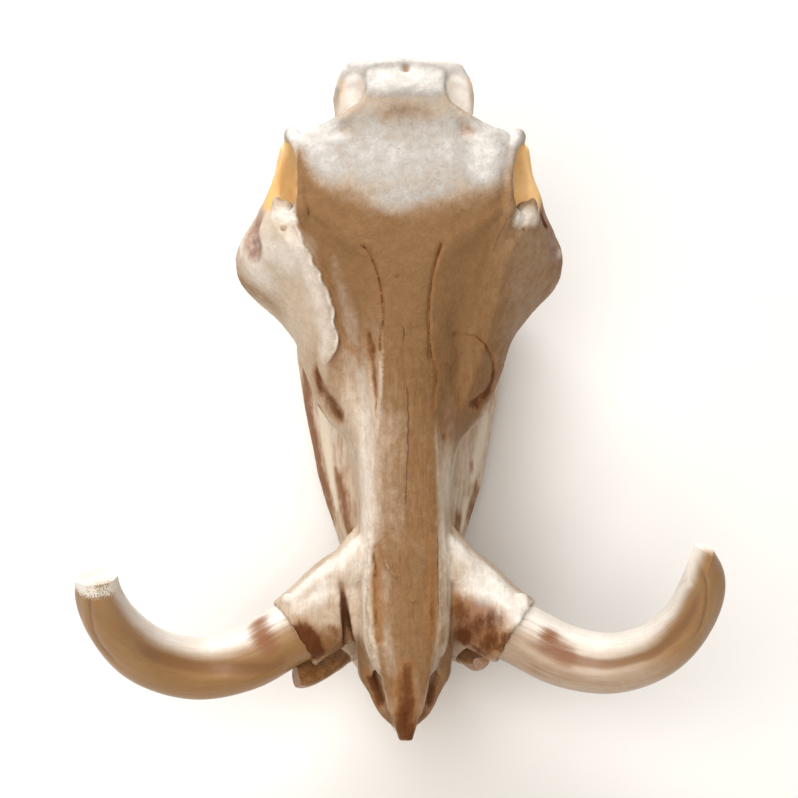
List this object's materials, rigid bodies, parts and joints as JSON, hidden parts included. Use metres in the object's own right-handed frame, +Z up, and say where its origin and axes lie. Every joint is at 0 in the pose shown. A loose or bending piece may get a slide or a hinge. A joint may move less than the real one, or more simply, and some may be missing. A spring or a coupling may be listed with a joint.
{
  "type": "warthog skull",
  "caption": "Life-size warthog skull with its lower jaw closed: long wedge of a face, broad brow, flared cheekbones and wide curving upper tusks.",
  "frame": {"origin": "middle of the part's box on the table it lies on", "axes": "+Z up, -Y towards the tip of the nose, X across the skull"},
  "size_m": [0.367, 0.3841, 0.2387],
  "materials": {
    "cranium_bone": "dry matte bone, cream with tan and brown stains",
    "jaw_bone": "dry matte bone, brown stained and streaked",
    "upper_ivory": "smooth satin ivory with long flutes and brown bands",
    "lower_ivory": "satin ivory, stained dark amber"
  },
  "bodies": {
    "root": {"cranium": "cranium_bone", "mandible": "jaw_bone", "tusk_upper_left": "upper_ivory", "tusk_upper_right": "upper_ivory", "tusk_lower_left": "lower_ivory", "tusk_lower_right": "lower_ivory"}
  },
  "joints": []
}
